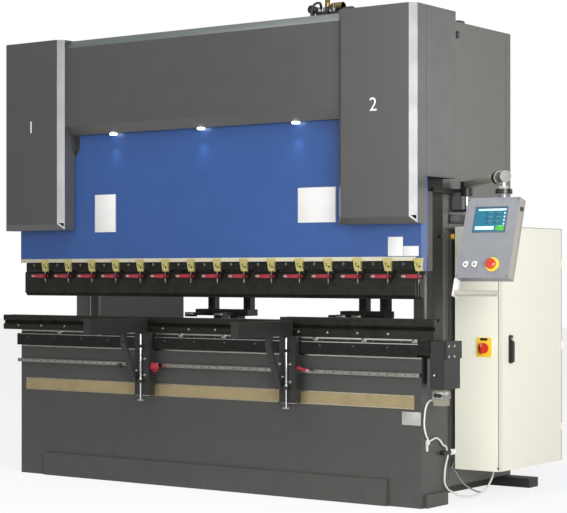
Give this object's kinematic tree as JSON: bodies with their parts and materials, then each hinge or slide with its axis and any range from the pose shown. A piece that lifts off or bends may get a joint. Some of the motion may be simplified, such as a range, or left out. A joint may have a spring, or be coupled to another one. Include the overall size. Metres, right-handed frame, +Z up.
{
  "type": "hydraulic press brake",
  "caption": "Hydraulic press brake with blue ram, grey covers, quick tool clamps, front support arms, back gauge, cream cabinet and a control panel on a swing arm.",
  "frame": {"origin": "floor under the middle of the working length, on the bend line", "axes": "+X to the operator's right along the bend line, +Y into the machine from the operator's side, +Z up"},
  "size_m": [3.8854, 1.92, 3.035],
  "materials": {
    "frame_grey": "satin",
    "cover_grey": "satin",
    "side_grey": "satin",
    "bed_grey": "satin",
    "table_black": "black oxide, oiled",
    "tool_steel": "hardened and blackened",
    "ground_steel": "ground",
    "strip_tan": "brushed",
    "ram_blue": "satin",
    "black_paint": "satin",
    "chrome": "polished",
    "lamp_lens": "clear",
    "wedge_yellow": "zinc plated, yellow",
    "grip_red": "gloss",
    "cream": "fine texture",
    "handle_black": "matte",
    "switch_yellow": "gloss",
    "switch_red": "gloss",
    "panel_silver": "satin",
    "screen_glass": "gloss",
    "button_white": "gloss",
    "arm_grey": "satin",
    "cable_white": "satin",
    "cable_grey": "satin"
  },
  "bodies": {
    "base": {"side_frames": "frame_grey", "side_covers": "side_grey", "bed_box": "bed_grey", "toe_plates": "bed_grey", "bed_table": "table_black", "die_holder": "tool_steel", "dies": "tool_steel", "support_rail": "ground_steel", "guide_strip": "strip_tan", "cylinders": "black_paint", "cylinder_covers": "cover_grey", "header": "cover_grey", "header_lamps": "lamp_lens", "oil_tank": "frame_grey", "hydraulic_unit": "black_paint", "gauge_rails": "frame_grey", "rear_feet": "black_paint", "cabinet_body": "cream", "switch_plate": "switch_yellow", "side_bracket": "black_paint", "junction_box": "cream", "arm_bracket": "black_paint", "cable_plug": "handle_black", "white_cable": "cable_white", "branch_cable": "cable_white", "loop_cable": "cable_white", "grey_cable": "cable_grey"},
    "ram": {"ram": "ram_blue", "ram_strip": "ground_steel", "tool_clamps": "table_black", "clamp_wedges": "wedge_yellow", "clamp_levers": "grip_red", "punch": "tool_steel", "piston_rods": "chrome"},
    "gauge": {"gauge_beam": "frame_grey"},
    "left_stop": {"left_finger": "black_paint"},
    "right_stop": {"right_finger": "black_paint"},
    "left_support": {"left_front_arm": "black_paint", "left_arm_screw": "chrome", "left_arm_knob": "grip_red"},
    "right_support": {"right_front_arm": "black_paint", "right_arm_screw": "chrome", "right_arm_knob": "grip_red"},
    "door": {"cabinet_door": "cream", "door_handle": "handle_black"},
    "switch": {"switch_knob": "switch_red"},
    "arm": {"panel_arm": "arm_grey"},
    "panel": {"panel_case": "panel_silver", "panel_screen": "screen_glass", "panel_handle": "arm_grey", "stop_ring": "switch_yellow"},
    "stop": {"stop_button": "switch_red"},
    "push_left": {"left_button": "button_white"},
    "push_right": {"right_button": "button_white"}
  },
  "joints": [
    {"name": "ram_slide", "type": "slide", "parent": "base", "child": "ram", "axis": [0, 0, 1], "range_m": [-0.105, 0]},
    {"name": "gauge_slide", "type": "slide", "parent": "base", "child": "gauge", "axis": [0, 1, 0], "range_m": [-0.235, 0.36]},
    {"name": "left_stop_slide", "type": "slide", "parent": "gauge", "child": "left_stop", "axis": [1, 0, 0], "range_m": [-0.5, 0.3]},
    {"name": "right_stop_slide", "type": "slide", "parent": "gauge", "child": "right_stop", "axis": [1, 0, 0], "range_m": [-0.28, 0.18]},
    {"name": "left_support_slide", "type": "slide", "parent": "base", "child": "left_support", "axis": [1, 0, 0], "range_m": [-0.9, 0.4]},
    {"name": "right_support_slide", "type": "slide", "parent": "base", "child": "right_support", "axis": [1, 0, 0], "range_m": [-0.45, 0.7]},
    {"name": "door_hinge", "type": "hinge", "parent": "base", "child": "door", "pos_m": [1.753, 1.308, 0.88], "axis": [0, 0, 1], "range_deg": [0, 110]},
    {"name": "switch_turn", "type": "hinge", "parent": "base", "child": "switch", "pos_m": [1.633, 0.53, 0.884], "axis": [0, -1, 0], "range_deg": [-90, 0]},
    {"name": "arm_swing", "type": "hinge", "parent": "base", "child": "arm", "pos_m": [1.48, 0.6, 1.847], "axis": [0, 0, 1], "range_deg": [-15, 34]},
    {"name": "panel_turn", "type": "hinge", "parent": "arm", "child": "panel", "pos_m": [2.06939, -0.02764, 1.7655], "axis": [0, 0, 1], "range_deg": [-60, 60]},
    {"name": "stop_push", "type": "slide", "parent": "panel", "child": "stop", "axis": [0, 0.9532, -0.3024], "range_m": [0, 0.005], "stiffness_N_per_m": 400},
    {"name": "left_push", "type": "slide", "parent": "panel", "child": "push_left", "axis": [0, 0.9532, -0.3024], "range_m": [0, 0.004], "stiffness_N_per_m": 400},
    {"name": "right_push", "type": "slide", "parent": "panel", "child": "push_right", "axis": [0, 0.9532, -0.3024], "range_m": [0, 0.004], "stiffness_N_per_m": 400}
  ]
}
